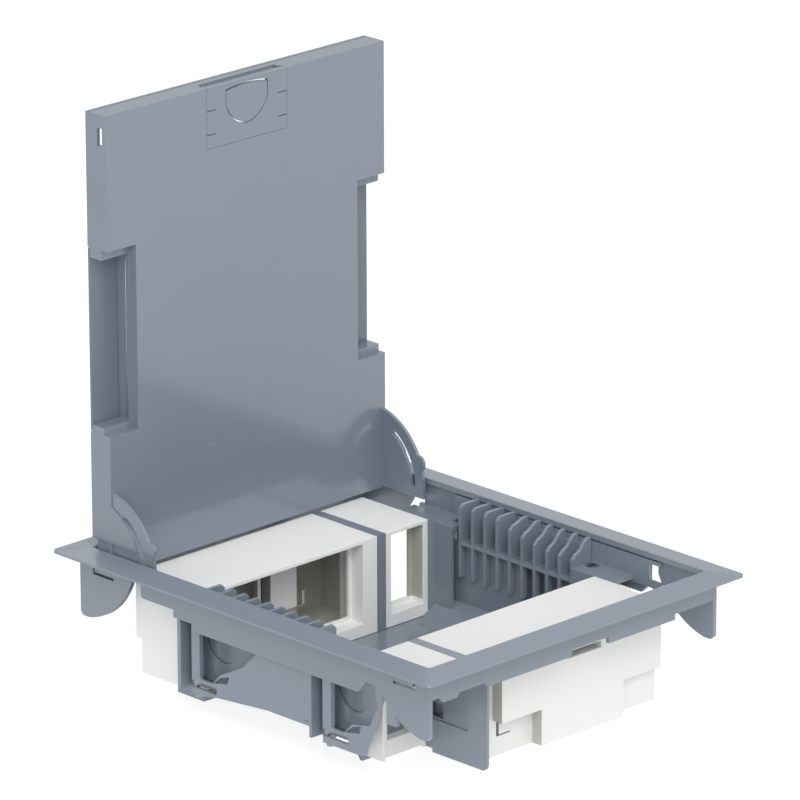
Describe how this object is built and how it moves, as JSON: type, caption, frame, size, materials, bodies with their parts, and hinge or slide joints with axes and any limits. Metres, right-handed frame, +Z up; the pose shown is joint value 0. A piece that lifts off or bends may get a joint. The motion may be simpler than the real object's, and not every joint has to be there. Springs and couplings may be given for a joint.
{
  "type": "floor socket box",
  "caption": "Floor box with a framed rim, hinged lid with cable flaps and lifting handle, module carriers round a central well, cable combs and screw-drawn clamping claws.",
  "frame": {"origin": "centre of the base, on the underside of the basin floor, below the middle of the flange", "axes": "+X along the front edge, +Y towards the hinge, +Z up; the lid stands open at right angles"},
  "size_m": [0.2448, 0.299, 0.3284],
  "materials": {
    "grey_plastic": "semi-gloss",
    "white_plastic": "satin",
    "plated_steel": "satin"
  },
  "bodies": {
    "box": {"bezel_frame": "grey_plastic", "basin": "grey_plastic", "cable_comb_left": "grey_plastic", "cable_comb_right": "grey_plastic", "hinge_pin_left": "plated_steel", "hinge_pin_right": "plated_steel", "rear_large_carrier": "white_plastic", "rear_small_carrier": "white_plastic", "rear_back_cover": "white_plastic", "rear_divider": "grey_plastic", "front_large_carrier": "white_plastic", "front_small_carrier": "white_plastic", "front_back_cover": "white_plastic", "front_divider": "grey_plastic"},
    "lid": {"lid_tray": "grey_plastic", "handle_cartridge": "grey_plastic", "handle_pin": "plated_steel", "flap_pin_left": "plated_steel", "flap_pin_right": "plated_steel"},
    "handle": {"lifting_handle": "grey_plastic"},
    "flap_left": {"cable_flap_left": "grey_plastic"},
    "flap_right": {"cable_flap_right": "grey_plastic"},
    "screw_front_left": {"clamp_screw_front_left": "plated_steel"},
    "nut_front_left": {"clamp_nut_front_left": "plated_steel"},
    "claw_front_left": {"clamp_claw_front_left": "plated_steel"},
    "screw_front_right": {"clamp_screw_front_right": "plated_steel"},
    "nut_front_right": {"clamp_nut_front_right": "plated_steel"},
    "claw_front_right": {"clamp_claw_front_right": "plated_steel"},
    "screw_rear_left": {"clamp_screw_rear_left": "plated_steel"},
    "nut_rear_left": {"clamp_nut_rear_left": "plated_steel"},
    "claw_rear_left": {"clamp_claw_rear_left": "plated_steel"},
    "screw_rear_right": {"clamp_screw_rear_right": "plated_steel"},
    "nut_rear_right": {"clamp_nut_rear_right": "plated_steel"},
    "claw_rear_right": {"clamp_claw_rear_right": "plated_steel"}
  },
  "joints": [
    {"name": "lid_hinge", "type": "hinge", "parent": "box", "child": "lid", "pos_m": [0, 0.1263, 0.0693], "axis": [1, 0, 0], "range_deg": [0, 90]},
    {"name": "handle_swing", "type": "hinge", "parent": "lid", "child": "handle", "pos_m": [0, 0.1187, 0.3233], "axis": [1, 0, 0], "range_deg": [0, 75]},
    {"name": "flap_left_swing", "type": "hinge", "parent": "lid", "child": "flap_left", "pos_m": [-0.0859, 0.1327, 0.1974], "axis": [0, 0, -1], "range_deg": [0, 90]},
    {"name": "flap_right_swing", "type": "hinge", "parent": "lid", "child": "flap_right", "pos_m": [0.0859, 0.1327, 0.1974], "axis": [0, 0, 1], "range_deg": [0, 90]},
    {"name": "screw_turn_front_left", "type": "hinge", "parent": "box", "child": "screw_front_left", "pos_m": [-0.1015, -0.052, 0.0598], "axis": [0, 0, 1], "range_deg": [0, 13145]},
    {"name": "nut_rise_front_left", "type": "slide", "parent": "box", "child": "nut_front_left", "axis": [0, 0, 1], "range_m": [0, 0.0292]},
    {"name": "claw_swing_front_left", "type": "hinge", "parent": "nut_front_left", "child": "claw_front_left", "pos_m": [-0.1015, -0.052, 0.0183], "axis": [0, 0, -1], "range_deg": [0, 90]},
    {"name": "screw_turn_front_right", "type": "hinge", "parent": "box", "child": "screw_front_right", "pos_m": [0.1015, -0.052, 0.0598], "axis": [0, 0, 1], "range_deg": [0, 13145]},
    {"name": "nut_rise_front_right", "type": "slide", "parent": "box", "child": "nut_front_right", "axis": [0, 0, 1], "range_m": [0, 0.0292]},
    {"name": "claw_swing_front_right", "type": "hinge", "parent": "nut_front_right", "child": "claw_front_right", "pos_m": [0.1015, -0.052, 0.0183], "axis": [0, 0, 1], "range_deg": [0, 90]},
    {"name": "screw_turn_rear_left", "type": "hinge", "parent": "box", "child": "screw_rear_left", "pos_m": [-0.1015, 0.052, 0.0598], "axis": [0, 0, 1], "range_deg": [0, 13145]},
    {"name": "nut_rise_rear_left", "type": "slide", "parent": "box", "child": "nut_rear_left", "axis": [0, 0, 1], "range_m": [0, 0.0292]},
    {"name": "claw_swing_rear_left", "type": "hinge", "parent": "nut_rear_left", "child": "claw_rear_left", "pos_m": [-0.1015, 0.052, 0.0183], "axis": [0, 0, -1], "range_deg": [0, 90]},
    {"name": "screw_turn_rear_right", "type": "hinge", "parent": "box", "child": "screw_rear_right", "pos_m": [0.1015, 0.052, 0.0598], "axis": [0, 0, 1], "range_deg": [0, 13145]},
    {"name": "nut_rise_rear_right", "type": "slide", "parent": "box", "child": "nut_rear_right", "axis": [0, 0, 1], "range_m": [0, 0.0292]},
    {"name": "claw_swing_rear_right", "type": "hinge", "parent": "nut_rear_right", "child": "claw_rear_right", "pos_m": [0.1015, 0.052, 0.0183], "axis": [0, 0, 1], "range_deg": [0, 90]}
  ],
  "couplings": [
    {"joint": "screw_turn_front_left", "follows": "nut_rise_front_left", "rad_per_m": 7854},
    {"joint": "screw_turn_front_right", "follows": "nut_rise_front_right", "rad_per_m": 7854},
    {"joint": "screw_turn_rear_left", "follows": "nut_rise_rear_left", "rad_per_m": 7854},
    {"joint": "screw_turn_rear_right", "follows": "nut_rise_rear_right", "rad_per_m": 7854}
  ]
}
